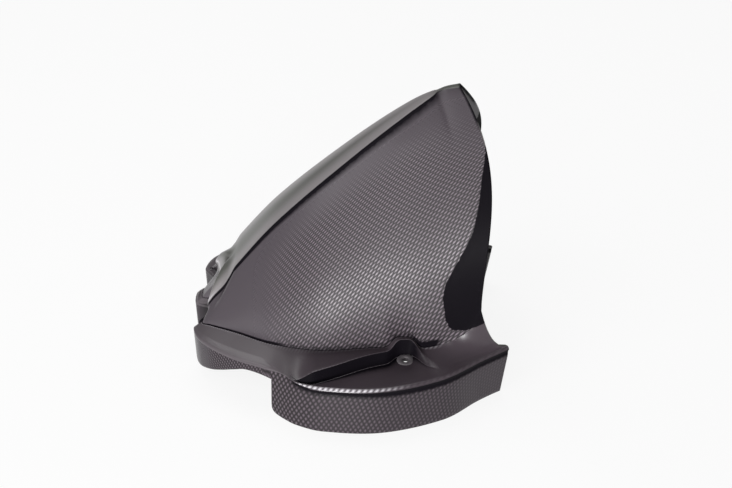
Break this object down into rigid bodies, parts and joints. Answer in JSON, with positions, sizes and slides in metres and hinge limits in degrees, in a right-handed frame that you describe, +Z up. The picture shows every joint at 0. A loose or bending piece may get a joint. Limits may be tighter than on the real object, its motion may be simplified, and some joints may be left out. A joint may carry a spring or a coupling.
{
  "type": "rear hugger mudguard",
  "caption": "Arched rear-wheel hugger mudguard moulded in one piece, with a raised crest strip, inset side panels and flared wings that carry bolt pads.",
  "frame": {"origin": "middle of the mudguard's length and width, at the height of the wings' bottom edges", "axes": "+X to the rear of the motorcycle, +Y to its left, +Z up, with the middle plane on Y = 0"},
  "size_m": [0.315, 0.302, 0.291],
  "materials": {
    "mudguard": "gloss, with a woven look on the side panels and wing walls"
  },
  "bodies": {
    "root": {"mudguard": "mudguard"}
  },
  "joints": []
}
